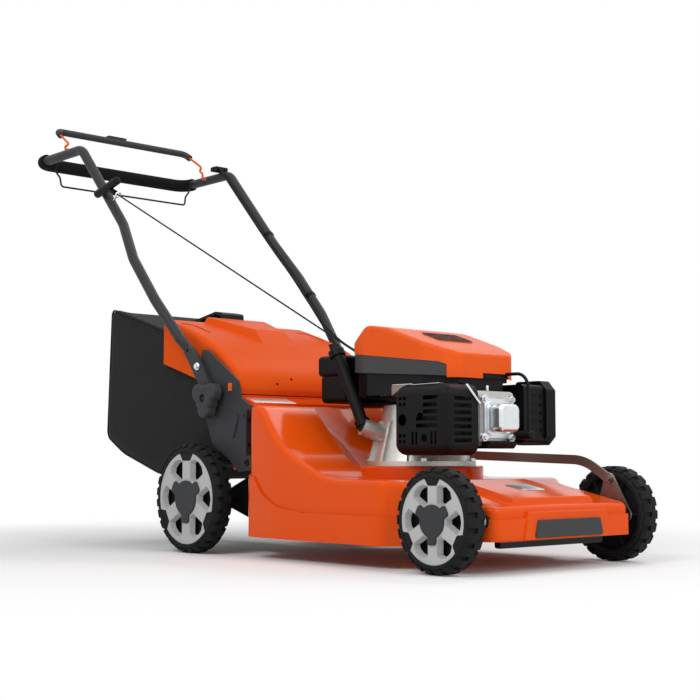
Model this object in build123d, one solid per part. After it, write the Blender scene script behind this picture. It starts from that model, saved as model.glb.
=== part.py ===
from math import cos, hypot, radians, sin
import os
from build123d import *

# Driving dimensions in mm. X runs forward from the rear wheel axis, Y left, Z up from the ground.
wheelbase = 792.0
front_wheel_r = 100.0
rear_wheel_r = 125.0
front_trim_r = 81.0
rear_trim_r = 105.0
wheel_outer_y = 287.0
wheel_width = 47.0
wheel_inner_y = wheel_outer_y - wheel_width
frame_shift_x = -44.0

# Height adjustment: equal crank arms front and rear, joined by one link
crank_arm = 60.0
link_pin_back = 39.0
link_pin_up = 75.0
front_pivot = (wheelbase + crank_arm, front_wheel_r)
rear_pivot = (crank_arm, rear_wheel_r)
front_link_pin = (front_pivot[0] - link_pin_back, front_pivot[1] + link_pin_up)
rear_link_pin = (rear_pivot[0] - link_pin_back, rear_pivot[1] + link_pin_up)
crank_y = (219.0, 224.0)
link_y = (214.2, 218.4)
axle_tube_r = 8.0
axle_bolt_r = 6.0
running_gap = 0.06
link_high = (752.0, 212.5)
link_strip_h = 20.0
lever_x = 330.0

# Deck
deck_t = 2.4
deck_bottom = 46.0
deck_step_z = 104.0
deck_top_z = 174.0
deck_rear_x = 190.0
deck_front_x = 880.0
deck_half_w = 276.0
nose_half_w = 213.0
box_rear_x = 110.0
box_right_y = -231.0
box_left_y = 203.0
box_floor_z = 190.0
box_top_z = 338.0
panel_rise = 9.0

# Engine
engine_x = 473.0
engine_z = 200.0
bore_z = 298.0
crank_r = 11.0
cover_bolt_y = 41.0
cover_bolt_z = 39.0

# Hood hinge, handle pivot and handle run
hinge = (100.0, 378.0)
hinge_rod_r = 4.0
pivot_block = (15.0, 18.0)
hood_half_w = 222.0
hood_t = 4.5
bracket_y = (231.0, 236.0)
pivot = (39.0, 353.0)
screw = (-14.0, 430.0)
spare_hole = (-55.0, 469.0)
tube_r = 12.7
tube_wall = 1.5
foot_y = (236.3, 246.3)
low_half_w = 266.5
top_half_w = 245.0
apex = (-556.0, 1038.0)
crossbar_x = -786.0
grip_r = 18.0
stud_r = 5.0


# Solids drawn out from a flat outline along one axis
def slab_y(face, y0, y1):
    high = max(y0, y1)
    base = Plane(origin=(0, high, 0), x_dir=(1, 0, 0), z_dir=(0, -1, 0))
    return extrude(base * face, amount=abs(y1 - y0))


def slab_x(face, x0, x1):
    base = Plane(origin=(x0, 0, 0), x_dir=(0, 1, 0), z_dir=(1, 0, 0))
    return extrude(base * face, amount=x1 - x0)


def slab_z(face, z0, z1):
    return extrude(Plane.XY.offset(z0) * face, amount=z1 - z0)


def outline(points):
    return make_face(Polyline(*points, close=True))


def soft_outline(points, radii):
    return make_face(FilletPolyline(*points, radius=radii, close=True))


def hull_of(spots):
    rings = ShapeList()
    for x, z, r in spots:
        rings += (Pos(x, z) * Circle(r)).edges()
    return make_hull(rings)


def rod(start, end, r):
    a = Vector(*start)
    b = Vector(*end)
    return extrude(Plane(origin=a, z_dir=b - a) * Circle(r), amount=(b - a).length)


def bent_rod(points, r, bends, inner=0.0):
    path = FilletPolyline(*points, radius=bends)
    a = Vector(*points[0])
    b = Vector(*points[1])
    face = Circle(r)
    if inner:
        face = Circle(r) - Circle(inner)
    return sweep(Plane(origin=a, z_dir=b - a) * face, path=path)


def block(x0, x1, y0, y1, z0, z1):
    return Pos((x0 + x1) / 2, (y0 + y1) / 2, (z0 + z1) / 2) * Box(x1 - x0, y1 - y0, z1 - z0)


def hole_y(x, z, r, y0, y1):
    return slab_y(Pos(x, z) * Circle(r), y0, y1)


def left_of(shape):
    return mirror(shape, about=Plane.XZ)


def hex_bolt(head_r, head_h, shank_r, shank_len):
    head = extrude(RegularPolygon(head_r, 6), head_h)
    return head + Pos(0, 0, -shank_len / 2) * Cylinder(shank_r, shank_len)


# Wheels, drawn with the axis up and the inner face at zero
trim_depth = 16.0
lug_height = 5.0
lug_share = 0.62
hub_r = 17.0


def wheel_body(tyre_r, trim_r, lug_count):
    w = wheel_width
    s = trim_r / front_trim_r
    base_r = tyre_r - lug_height
    lip_r = trim_r - 6
    seat_z = w - trim_depth
    ring_face = outline([
        (lip_r, 3), (lip_r + 4, 0), (base_r - 9, 0), (base_r, 8), (base_r, w - 8),
        (base_r - 9, w), (trim_r + 1, w), (trim_r, w - 1), (trim_r, seat_z), (lip_r, seat_z)])
    ring = revolve(Plane.XZ * ring_face, axis=Axis.Z)
    web = Pos(0, 0, 17) * Cylinder(lip_r + 2, 6)
    hub = Pos(0, 0, 13.5) * Cylinder(hub_r, 43)
    rib = Pos((lip_r + hub_r) / 2, 0, 9) * Box(lip_r - hub_r + 6, 4, 11)
    tongue_face = outline([
        (66 * s, -11 * s), (trim_r + 2, -23 * s), (trim_r + 2, 23 * s), (66 * s, 11 * s)])
    tongue = slab_z(tongue_face, seat_z, w - 2)
    lug_face = outline([
        (base_r - 4, 2), (tyre_r - 6, 2), (tyre_r, 9), (tyre_r, w - 9), (tyre_r - 6, w - 2),
        (base_r - 4, w - 2)])
    lug_zone = revolve(Plane.XZ * lug_face, axis=Axis.Z)
    pitch = 360.0 / lug_count
    lug_w = lug_share * radians(pitch) * tyre_r
    inner_lug = Pos(tyre_r - 3, 0, w * 0.25 + 2) * Box(20, lug_w, w * 0.5 + 4)
    outer_lug = Pos(tyre_r - 3, 0, w * 0.75 - 2) * Box(20, lug_w, w * 0.5 + 4)
    lugs = []
    for i in range(lug_count):
        lugs.append(Rot(0, 0, -90 + i * pitch) * inner_lug)
        lugs.append(Rot(0, 0, -90 + (i + 0.5) * pitch) * outer_lug)
    tread = lug_zone & (Part() + lugs)
    extras = [web, hub, tread]
    for i in range(6):
        extras.append(Rot(0, 0, 60 * i) * rib)
    for i in range(3):
        extras.append(Rot(0, 0, 90 + 120 * i) * tongue)
    body = ring + extras
    return body - Cylinder(axle_bolt_r + running_gap, 200)


def wheel_trim(trim_r):
    w = wheel_width
    s = trim_r / front_trim_r
    face_z = w - 2.5
    back_z = w - trim_depth + 0.3
    disc = Pos(0, 0, (face_z + back_z) / 2) * Cylinder(trim_r - 0.3, face_z - back_z)
    half = [(34, 6.3), (62, 22.5), (71, 13), (74, 0)]
    points = [(x * s, -y * s) for x, y in half]
    points += [(x * s, y * s) for x, y in reversed(half[:-1])]
    pocket_face = soft_outline(points, [2 * s, 4 * s, 3 * s, 3 * s, 3 * s, 4 * s, 2 * s])
    down = Plane(origin=(0, 0, face_z), x_dir=(1, 0, 0), z_dir=(0, 0, -1))
    pocket = extrude(down * pocket_face, amount=face_z - back_z + 0.5, taper=18)
    notch_face = outline([
        (66 * s - 0.3, -11.3 * s), (trim_r + 2, -23.3 * s), (trim_r + 2, 23.3 * s),
        (66 * s - 0.3, 11.3 * s)])
    notch = slab_z(notch_face, back_z - 1, face_z + 1)
    cuts = [Cylinder(20, 200)]
    for i in range(6):
        cuts.append(Rot(0, 0, 60 * i) * pocket)
    for i in range(3):
        cuts.append(Rot(0, 0, 90 + 120 * i) * notch)
    return disc - cuts


def hub_cap(trim_r):
    s = trim_r / front_trim_r
    face = Sketch() + Circle(31 * s)
    for i in range(3):
        face += Rot(0, 0, -90 + 120 * i) * Pos(22 * s, 0) * RectangleRounded(44 * s, 22 * s, 6 * s)
    cap = slab_z(face, wheel_width - 2.5, wheel_width + 1.5)
    return fillet(cap.faces().sort_by(Axis.Z)[-1].edges(), 1.6)


def place_wheel(shape, x, z):
    seat = Plane(origin=(x, -wheel_inner_y, z), x_dir=(1, 0, 0), z_dir=(0, -1, 0))
    return seat.location * shape


# Axles: cross tube, crank plates and wheel bolts
def wheel_bolt(x, z):
    shank = hole_y(x, z, axle_bolt_r, -crank_y[0] - 0.2, -276.0)
    collar = hole_y(x, z, 10, -crank_y[1], -wheel_inner_y + 8.2)
    head = slab_y(Pos(x, z) * RegularPolygon(10, 6), -275.4, -281.5)
    return shank + [collar, head]


def axle(pivot_at, wheel_at, pin_at):
    px, pz = pivot_at
    wx, wz = wheel_at
    right_face = hull_of([(px, pz, 15), (wx, wz, 15)])
    left_face = hull_of([(px, pz, 15), (wx, wz, 15), (pin_at[0], pin_at[1], 11)])
    right_plate = slab_y(right_face, -crank_y[0], -crank_y[1])
    left_plate = slab_y(left_face, crank_y[0], crank_y[1])
    tube = hole_y(px, pz, axle_tube_r, -crank_y[0], crank_y[0])
    tube -= hole_y(px, pz, axle_tube_r - 2, -crank_y[0] - 1, crank_y[0] + 1)
    pin = hole_y(pin_at[0], pin_at[1], 4, link_y[0] - 4, crank_y[1])
    pin_head = slab_y(Pos(*pin_at) * RegularPolygon(8, 6), link_y[0] - 4.6, link_y[0] - 0.4)
    bolt = wheel_bolt(wx, wz)
    return tube + [right_plate, left_plate, pin, pin_head, bolt, left_of(bolt)]


def height_link():
    slope = (rear_link_pin[1] - front_link_pin[1]) / (rear_link_pin[0] - front_link_pin[0])
    rear_high = (96.0, link_high[1] + slope * (96.0 - link_high[0]))
    points = [rear_link_pin, rear_high, link_high, front_link_pin]
    path = FilletPolyline(*[(x, 0, z) for x, z in points], radius=[34, 110])
    start = Vector(rear_link_pin[0], 0, rear_link_pin[1])
    ahead = Vector(rear_high[0], 0, rear_high[1]) - start
    mid_y = (link_y[0] + link_y[1]) / 2
    strip_plane = Plane(origin=start, x_dir=(0, 1, 0), z_dir=ahead)
    strip_face = strip_plane * Rectangle(link_y[1] - link_y[0], link_strip_h)
    strip = Pos(0, mid_y, 0) * sweep(strip_face, path=path)
    lever_z = link_high[1] + slope * (lever_x - link_high[0])
    eyes = [hole_y(x, z, 11, link_y[0], link_y[1]) for x, z in (rear_link_pin, front_link_pin)]
    lever = block(lever_x - 8, lever_x + 8, link_y[0], link_y[1], lever_z, lever_z + 70)
    grip = block(lever_x - 12, lever_x + 12, link_y[0] - 10, link_y[1] + 2, lever_z + 62, lever_z + 112)
    grip = fillet(grip.edges().filter_by(Axis.Z), 7)
    grip = fillet(grip.faces().sort_by(Axis.Z)[-1].edges(), 5)
    tooth = hole_y(lever_x, lever_z + 24, 3.5, link_y[1], link_y[1] + 8)
    link = strip + eyes + [lever, grip, tooth]
    for x, z in (rear_link_pin, front_link_pin):
        link -= hole_y(x, z, 4 + running_gap, link_y[0] - 1, link_y[1] + 1)
    return link


def height_gate():
    slope = (rear_link_pin[1] - front_link_pin[1]) / (rear_link_pin[0] - front_link_pin[0])
    tooth_z = link_high[1] + slope * (lever_x - link_high[0]) + 24
    turn_x = lever_x + link_pin_back
    turn_z = tooth_z - link_pin_up
    arm = hypot(link_pin_back, link_pin_up)
    plate = block(lever_x - 50, lever_x + 58, 222.5, 226.5, deck_top_z, tooth_z + 26)
    sweep_gap = hole_y(turn_x, turn_z, arm + 6, 220, 230) - hole_y(turn_x, turn_z, arm - 6, 219, 231)
    foot = block(lever_x - 50, lever_x + 58, 226.5, 248.0, deck_top_z, deck_top_z + 4)
    cheek_low = block(lever_x - 42, lever_x + 52, 219, 231, tooth_z - 32, tooth_z + 18)
    return plate + foot - (sweep_gap & cheek_low)


# Deck: one pressed shell with a tall rear box, an engine seat and a stepped skirt
def deck_plan(inset):
    right = [
        (deck_rear_x, -266), (300, -deck_half_w), (636, -deck_half_w), (698, -nose_half_w),
        (deck_front_x, -nose_half_w)]
    left = [(x, -y) for x, y in reversed(right)]
    radii = [38, 200, 45, 60, 28, 28, 60, 45, 200, 38]
    face = soft_outline(right + left, radii)
    if inset:
        face = offset(face, amount=-inset)
    return face


def deck_crown(drop, tall):
    low = 20.0
    nose = [
        (640, deck_top_z - drop), (870 - drop / 2, 126 - drop), (886 - drop, 100 - drop), (886 - drop, low)]
    if tall:
        points = [
            (150, low), (150, box_top_z - drop), (243, 331 - drop), (330, 238 - drop),
            (470, deck_top_z - drop)]
        radii = [0.1, 0.1, 28, 190, 240, 180, 16, 6, 0.1]
    else:
        points = [(150, low), (150, deck_top_z - drop)]
        radii = [0.1, 0.1, 180, 16, 6, 0.1]
    return slab_y(soft_outline(points + nose, radii), -320, 320)


def deck_upper(inset, edge_r, tall):
    upper = slab_z(deck_plan(5 + inset), deck_step_z - 1 - inset, 360)
    upper = upper & deck_crown(inset, tall)
    rims = upper.edges().filter_by(lambda e: e.center().Z > deck_step_z + 5 - inset)
    rims = rims.filter_by(lambda e: abs(e.tangent_at(0.5).Z) < 0.97 and e.center().X > deck_rear_x + 10)
    rims = rims.filter_by(lambda e: abs(e.center().Y) > 100 or e.center().X > deck_front_x - 6 - inset)
    return fillet(rims, edge_r)


def nose_panel(inset):
    plan = Pos(757, -4) * RectangleRounded(224 - 2 * inset, 282 - 2 * inset, 20)
    panel = extrude(Plane.XY.offset(90) * plan, amount=110, taper=25) & deck_crown(inset - panel_rise, False)
    return fillet(panel.faces().sort_by(Axis.Z)[-1].edges(), 5)


def bumper_boss():
    face = outline([(-118, 116), (118, 116), (130, 62), (-130, 62)])
    boss = slab_x(face, deck_front_x - 12, deck_front_x + 4)
    return fillet(boss.faces().sort_by(Axis.X)[-1].edges(), 3)


def deck_form(inset, edge_r):
    skirt = slab_z(deck_plan(inset), deck_bottom - (30 if inset else 0), deck_step_z - inset)
    skirt += slab_z(deck_plan(inset), deck_step_z - inset - 1, 240) & skirt_rise(inset)
    low = deck_upper(inset, edge_r, False)
    tall = deck_upper(inset, edge_r, True)
    tall -= block(0, 1000, box_left_y - inset, 400, 0, 500)
    tall -= block(600, 1000, -400, 400, 0, 500)
    wall_top = tall.edges().filter_by(lambda e: abs(e.center().Y - box_left_y + inset) < 0.1)
    wall_top = wall_top.filter_by(lambda e: e.center().Z > deck_top_z + 2 and e.center().X > deck_rear_x + 12)
    wall_top = wall_top.filter_by(lambda e: abs(e.tangent_at(0.5).Z) < 0.97)
    tall = fillet(wall_top, edge_r - 3)
    return skirt + [low, tall, nose_panel(inset)]


def skirt_rise(inset):
    points = [
        (150, 60), (150, 186 - inset), (232, 176 - inset), (262, 140 - inset), (324, 112 - inset),
        (420, 103 - inset), (420, 60)]
    return slab_y(soft_outline(points, [1, 1, 14, 60, 90, 1, 1]), -320, 320)


def engine_dish(grow):
    cone = Pos(engine_x, 0, 286) * Cone(131 + grow, 301 + grow, 200)
    return cone - block(0, 900, -400, 400, 0, deck_top_z - grow)


cable_entry = (202.4, 174.0)


def deck_shell():
    outer = deck_form(0, 13) - engine_dish(0)
    seat = Pos(engine_x, 0, 0) * slab_z(Circle(138), deck_top_z - 1, engine_z)
    outer += fillet(seat.faces().sort_by(Axis.Z)[-1].edges(), 5)
    outer += block(box_rear_x, deck_rear_x + 30, box_right_y, box_left_y, box_floor_z, box_top_z)
    outer += block(112, 118, box_right_y + 6, box_left_y, box_top_z - 1, 360)
    outer += block(deck_rear_x, deck_rear_x + 4, box_left_y - 4, 258, deck_top_z - 40, 326)
    outer += bumper_boss()
    inner = deck_form(deck_t, 10) - engine_dish(deck_t)
    inner -= block(0, deck_rear_x + deck_t, -400, 400, 0, 400)
    tunnel = block(
        box_rear_x - 1, deck_rear_x + 12, box_right_y + deck_t, box_left_y - deck_t,
        box_floor_z + deck_t, box_top_z - deck_t)
    shell = outer - inner - tunnel
    shell -= Pos(engine_x, 0, 190) * Cylinder(46, 80)
    shell -= block(700, 900, -300, 300, 30, 62)
    shell -= hole_y(front_pivot[0], front_pivot[1], 12.4, -300, 300)
    shell -= block(150, 230, -6, 95, 145, 170)
    shell -= Pos(cable_entry[0], cable_entry[1], box_top_z) * Cylinder(8, 30)
    shell -= block(150, 210, 208.5, 225, 191, 261)
    return shell


def bumper_trim():
    face = outline([(-94, 100), (94, 100), (103, 66), (-103, 66)])
    pad = slab_x(face, deck_front_x + 4.2, deck_front_x + 8)
    pad = fillet(pad.edges().filter_by(Axis.X), 5)
    apron = block(deck_front_x - 12, deck_front_x + 3, -198, 104, 50, 61.8)
    apron = fillet(apron.faces().sort_by(Axis.Z)[0].edges(), 4)
    pad = fillet(pad.faces().sort_by(Axis.X)[-1].edges(), 2)
    return Compound(children=[pad, apron])


def axle_bearings():
    px, pz = front_pivot
    front = hole_y(px, pz, 12, -nose_half_w + 15, -nose_half_w - 3)
    front += hole_y(px, pz, 16, -nose_half_w - 0.2, -nose_half_w - 3)
    front -= hole_y(px, pz, 8.1, -300, 300)
    rx, rz = rear_pivot
    hanger_face = soft_outline(
        [(deck_rear_x - 0.2, 64), (deck_rear_x - 0.2, 172), (150, 184), (rx - 14, rz + 18),
         (rx - 14, rz - 18)],
        [4, 4, 20, 12, 12])
    hanger = slab_y(hanger_face, -195, -201)
    hanger += block(deck_rear_x - 6, deck_rear_x - 0.2, -195, -172, 70, 168)
    hanger -= hole_y(rx, rz, 8.1, -300, 300)
    return Compound(children=[front, left_of(front), hanger, left_of(hanger)])


# Handle brackets
flange_bolt_z = (245, 300)


def handle_bracket():
    points = [
        (-9, 470), (14, 466), (130, 391), (141, 352), (186, 327), (186, 219), (178, 190), (132, 185),
        (101, 212), (36, 246), (7, 309), (-34, 352)]
    radii = [5, 8, 10, 12, 5, 5, 8, 8, 12, 12, 12, 14]
    plate = slab_y(soft_outline(points, radii), -bracket_y[0], -bracket_y[1])
    plate += block(184.8, deck_rear_x - 0.2, -258, -bracket_y[0], 222, 324)
    boss_face = Pos(118, 288) * Rot(0, 0, 70) * SlotOverall(56, 16)
    plate += slab_y(boss_face, -bracket_y[1], -bracket_y[1] - 2.5)
    plate -= slab_y(Pos(*hinge) * Rectangle(*pivot_block), -240, -220)
    plate -= hole_y(pivot[0], pivot[1], stud_r, -240, -220)
    plate -= hole_y(158, 312, 8, -240, -bracket_y[1] + 2.5)
    plate -= hole_y(164, 206, 8, -240, -bracket_y[1] + 2.5)
    for z in flange_bolt_z:
        plate -= rod((180, -248, z), (195, -248, z), 4.2)
    return plate


def fasteners():
    solids = []
    for side in (1, -1):
        stud = hole_y(pivot[0], pivot[1], stud_r, side * 226.5, side * 268)
        stud += hole_y(pivot[0], pivot[1], 10, side * 226.5, side * bracket_y[0])
        solids.append(stud)
        for z in flange_bolt_z:
            bolt = Rot(0, -90, 0) * hex_bolt(7, 5, 4, 4)
            solids.append(Pos(184.8, side * 248, z) * bolt)
    for x, z in ((158, 312), (164, 206)):
        cap = hole_y(x, z, 6.5, -bracket_y[1] + 2.5, -bracket_y[1] - 2)
        solids.append(cap - slab_y(Pos(x, z) * RegularPolygon(3.2, 6), -236, -239))
    for angle in (40, 135, 225, 320):
        bolt = hex_bolt(7, 6, 4, 0.2)
        spot = Pos(engine_x + 114 * cos(radians(angle)), 114 * sin(radians(angle)), engine_z + 10.2)
        solids.append(spot * bolt)
    for y in (-cover_bolt_y, cover_bolt_y):
        for z in (bore_z - cover_bolt_z, bore_z + cover_bolt_z):
            solids.append(Pos(703.2, y, z) * Rot(0, 90, 0) * hex_bolt(6, 5, 3, 0.2))
    return Compound(children=solids)


# Engine
filler_low = (engine_x - 44, -121.0, 278.0)
filler_high = (354.0, -132.0, 438.0)


def crankcase():
    side_face = outline([
        (0, engine_z), (122, engine_z), (122, engine_z + 10), (106, engine_z + 10), (84, 292), (78, 330),
        (0, 330)])
    body = revolve(Plane.XZ * side_face, axis=Axis.Z)
    rib_face = outline([(60, engine_z + 8), (116, engine_z + 8), (90, 296), (60, 296)])
    ribs = []
    for i in range(12):
        if i not in (0, 1, 11):
            rib = Rot(0, 0, 30 * i) * extrude(Plane.XZ * rib_face, amount=3, both=True)
            ribs.append(rib)
    body = body + ribs
    body = Pos(engine_x, 0, 0) * body
    hollow_face = outline([(0, engine_z + 12), (92, engine_z + 12), (72, 288), (66, 318), (0, 318)])
    body -= Pos(engine_x, 0, 0) * revolve(Plane.XZ * hollow_face, axis=Axis.Z)
    body += block(engine_x + 70, engine_x + 100, -58, 58, bore_z - 60, bore_z + 30)
    body += rod((engine_x - 20, -70, 262), (engine_x - 47, -126, 284), 19)
    body -= Pos(engine_x, 0, 270) * Cylinder(crank_r + running_gap, 200)
    low = Vector(*filler_low)
    high = Vector(*filler_high)
    along = (high - low).normalized()
    body -= rod(filler_low, filler_high, 13.3)
    return body - rod(low + along * 8.6, high, 17.4)


def cylinder():
    start = engine_x + 100
    solids = [slab_x(Pos(0, bore_z) * Circle(44), start, start + 96)]
    for i in range(9):
        x = start + 6 + 9.5 * i
        solids.append(slab_x(Pos(0, bore_z) * RectangleRounded(112, 108, 14), x, x + 3.5))
    solids.append(block(start + 92, start + 122, -46, 46, bore_z - 46, bore_z + 46))
    for i in range(3):
        x = start + 95 + 9 * i
        solids.append(slab_x(Pos(0, bore_z) * RectangleRounded(124, 112, 12), x, x + 3.5))
    barrel = solids[0] + solids[1:]
    return barrel - slab_x(Pos(0, bore_z) * Circle(33), start - 1, start + 92)


def valve_cover():
    face_x = engine_x + 222
    flange = Rectangle(84, 80)
    for y in (-cover_bolt_y, cover_bolt_y):
        for z in (-cover_bolt_z, cover_bolt_z):
            flange += Pos(y, z) * Circle(9)
    plate = slab_x(Pos(0, bore_z) * flange, face_x + 0.2, face_x + 8)
    bead_face = RectangleRounded(76, 72, 17) - RectangleRounded(68, 64, 14)
    bead = slab_x(Pos(0, bore_z) * bead_face, face_x + 8, face_x + 12)
    cup = slab_x(Pos(0, bore_z) * RectangleRounded(60, 56, 12), face_x + 8, face_x + 42)
    cup = fillet(cup.faces().sort_by(Axis.X)[-1].edges(), 8)
    return plate + [bead, cup]


def muffler():
    can = block(566, 690, -142, -70, 240, 350)
    can = fillet(can.edges(), 14)
    pipe = rod((664, -74, bore_z), (664, -62.2, bore_z), 14)
    hollow = fillet(block(568.5, 687.5, -139.5, -72.5, 242.5, 347.5).edges(), 11.5)
    return can + pipe - hollow - rod((664, -80, bore_z), (664, -60, bore_z), 11)


def muffler_guard():
    x0, x1, y0, y1, z0, z1 = 548.0, 706.0, -156.0, -64.0, 222.0, 366.0
    shell = block(x0, x1, y0, y1 + 24, z0, z1)
    shell = fillet(shell.edges(), 24)
    hollow = block(x0 + 2.5, x1 - 2.5, y0 + 2.5, y1 + 40, z0 + 2.5, z1 - 2.5)
    hollow = fillet(hollow.edges(), 21.5)
    guard = shell - hollow - block(x0 - 1, x1 + 1, y1, y1 + 60, z0 - 1, z1 + 1)
    cuts = []
    for x in (574, 586):
        for z in (338, 326, 262, 250):
            cuts.append(block(x - 3.5, x + 3.5, y0 - 1, y0 + 4, z - 3.5, z + 3.5))
    cuts.append(hole_y(580, 294, 12, y0 - 1, y0 + 4))
    cuts.append(hole_y(632, 300, 8.5, y0 - 1, y0 + 4))
    for z in (338, 324, 310):
        cuts.append(block(640, 680, y0 - 1, y0 + 4, z - 4, z + 4))
    for z in (296, 282):
        cuts.append(block(620, 680, y0 - 1, y0 + 4, z - 4, z + 4))
    for x in (610, 621, 664, 675):
        cuts.append(block(x - 3, x + 3, y0 - 1, y0 + 4, 244, 270))
    cuts.append(hole_y(643, 257, 8.5, y0 - 1, y0 + 4))
    for i in range(7):
        z = 252 + 14 * i
        cuts.append(block(x1 - 4, x1 + 1, -134, -84, z - 4, z + 4))
    return guard - cuts


def carburettor():
    body = block(612, 662, 62.4, 91.8, 282, 332)
    body = fillet(body.edges().filter_by(Axis.Y), 8)
    bowl = Pos(637, 77, 264) * Cylinder(13.5, 38)
    bowl = fillet(bowl.faces().sort_by(Axis.Z)[0].edges(), 4)
    return body + bowl


def air_filter_box():
    box = block(602, 692, 92, 157.5, 247, 372)
    box = fillet(box.edges().filter_by(Axis.Y), 10)
    slot = []
    for i in range(5):
        slot.append(block(690, 693, 102, 148, 272 + 18 * i, 279 + 18 * i))
    return box - slot


def air_filter_lid():
    points = [(598, 262), (616, 244), (680, 244), (698, 262), (698, 362), (680, 382), (616, 382), (598, 362)]
    lid = slab_y(outline(points), 158, 192)
    lid = fillet(lid.edges().filter_by(Axis.Y), 6)
    return fillet(lid.faces().sort_by(Axis.Y)[-1].edges(), 6)


def spark_plug():
    nose_x = engine_x + 222.2
    plug_y = 60.5
    plug_z = 264.0
    plug = slab_x(Pos(plug_y, plug_z) * RegularPolygon(10, 6), nose_x, nose_x + 12)
    boot = rod((nose_x + 12, plug_y, plug_z), (nose_x + 46, plug_y, plug_z), 9)
    boot = fillet(boot.faces().sort_by(Axis.X)[-1].edges(), 4)
    rise_x = nose_x + 36
    lead = bent_rod([(rise_x, plug_y, plug_z + 9.5), (rise_x, plug_y, 392), (672.6, plug_y, 392)], 3.5, 30)
    return Compound(children=[plug, boot, lead])


def cowl_plan(inset):
    right = [(352, -62), (388, -116), (430, -126), (600, -124), (648, -104), (672, -76)]
    left = [(x, -y) for x, y in reversed(right)]
    face = soft_outline(right + left, [22, 18, 20, 30, 14, 14, 14, 14, 30, 20, 18, 22])
    if inset:
        face = offset(face, amount=-inset)
    return face


def cowl_crown(drop):
    points = [
        (330, 330), (330, 432 - drop), (436, 502 - drop), (500, 492 - drop), (640, 444 - drop),
        (690, 424 - drop), (690, 330)]
    radii = [0.1, 0.1, 30, 120, 30, 0.1, 0.1]
    return slab_y(soft_outline(points, radii), -200, 200)


def split_zone():
    points = [(300, 300), (300, 452), (636, 414), (652, 408), (652, 300)]
    return slab_y(outline(points), -220, 220)


def engine_cowl():
    outer = slab_z(cowl_plan(0), 381, 520) & cowl_crown(0)
    tops = outer.edges().filter_by(lambda e: e.center().Z > 400 and abs(e.tangent_at(0.5).Z) < 0.8)
    tops = tops.filter_by(
        lambda e: abs(e.tangent_at(0.5).Y) < 0.999 or e.center().X < 360 or e.center().X > 665)
    outer = fillet(tops, 9)
    inner = slab_z(cowl_plan(3), 370, 520) & cowl_crown(4)
    shell = outer - inner - split_zone()
    grille = []
    for i in range(7):
        x = 520 + 11 * i
        grille.append(block(x, x + 5, -46, 46, 400, 520))
    notch = block(650, 680, -12, 66, 370, 392)
    return shell - grille - notch


def cowl_band():
    lower_edge = slab_y(outline([(300, 407), (300, 480), (700, 480), (700, 381)]), -200, 200)
    outer = slab_z(cowl_plan(1.5), 370, 470) & split_zone() & lower_edge
    inner = slab_z(cowl_plan(4.5), 360, 480)
    band = outer - inner
    skirt = slab_z(cowl_plan(10), 350, 407) - slab_z(cowl_plan(13), 340, 410)
    floor = slab_z(cowl_plan(4.5), 404, 407) - slab_z(cowl_plan(13), 340, 410)
    floor = floor & split_zone()
    skirt -= slab_z(cowl_plan(0), 392, 410) - split_zone()
    skirt -= [block(540, 700, -130, -60, 340, 370), block(594, 700, 60, 130, 340, 376)]
    return band + [skirt, floor]


def fuel_tank():
    low = block(264, 348, -108, 108, 338, 404)
    low = fillet(low.edges(), 12)
    high = block(260, 350, -112, 112, 398, 444)
    high = fillet(high.edges(), 9)
    low_hollow = fillet(block(267, 345, -105, 105, 341, 440).edges(), 9)
    high_hollow = fillet(block(263, 347, -109, 109, 401, 441).edges(), 6)
    neck = Pos(304, 62, 446) * Cylinder(20, 8)
    bracket = block(290, 424, -36, 36, 330.2, 338.4)
    tank = low + [high, neck, bracket]
    return tank - [low_hollow, high_hollow, Pos(304, 62, 440) * Cylinder(16, 40)]


def fuel_cap():
    ridges = Pos(304, 62, 459.3) * Cylinder(27, 18)
    ridges = fillet(ridges.faces().sort_by(Axis.Z)[-1].edges(), 4)
    cuts = []
    for i in range(16):
        a = radians(22.5 * i)
        cuts.append(Pos(304 + 28 * cos(a), 62 + 28 * sin(a), 459) * Cylinder(2.6, 40))
    return ridges - cuts


def oil_filler_tube():
    tube = rod(filler_low, filler_high, 13)
    low = Vector(*filler_low)
    high = Vector(*filler_high)
    along = (high - low).normalized()
    collar = rod((low + along * 9), (low + along * 21), 17)
    return tube + collar - rod(filler_low, filler_high, 10)


def oil_dipstick():
    low = Vector(*filler_low)
    high = Vector(*filler_high)
    along = (high - low).normalized()
    cap = rod((high + along * 0.3), (high + along * 16), 18)
    cap = fillet(cap.faces().sort_by(Axis.Z)[-1].edges(), 3)
    bar = block(-4, 4, -14, 14, 0, 14)
    bar = fillet(bar.edges().filter_by(Axis.Z), 3)
    grip = Plane(origin=high + along * 15.5, z_dir=along).location * bar
    stick = rod((low + along * 20), (high + along * 1), 3)
    return cap + [grip, stick]


# Turning engine pieces
def crankshaft():
    shaft = Pos(engine_x, 0, 0) * slab_z(Circle(crank_r), 58.2, 404)
    return shaft


def flywheel():
    disc = Pos(engine_x, 0, 0) * (slab_z(Circle(86), 352, 362) + slab_z(Circle(30), 350, 392))
    fins = []
    for i in range(18):
        fin = Rot(0, 0, 20 * i) * Pos(66, 0, 372) * Rot(0, 0, 24) * Box(36, 3, 22)
        fins.append(Pos(engine_x, 0, 0) * fin)
    disc = disc + fins
    return disc - Pos(engine_x, 0, 370) * Cylinder(crank_r, 120)


def blade_adapter():
    face = outline([
        (crank_r, 58.2), (34, 58.2), (34, 66), (24, 70), (24, 146), (34, 146), (30, 152), (30, 161),
        (34, 166), (crank_r, 166)])
    return Pos(engine_x, 0, 0) * revolve(Plane.XZ * face, axis=Axis.Z)


blade_r = 256.0


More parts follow.
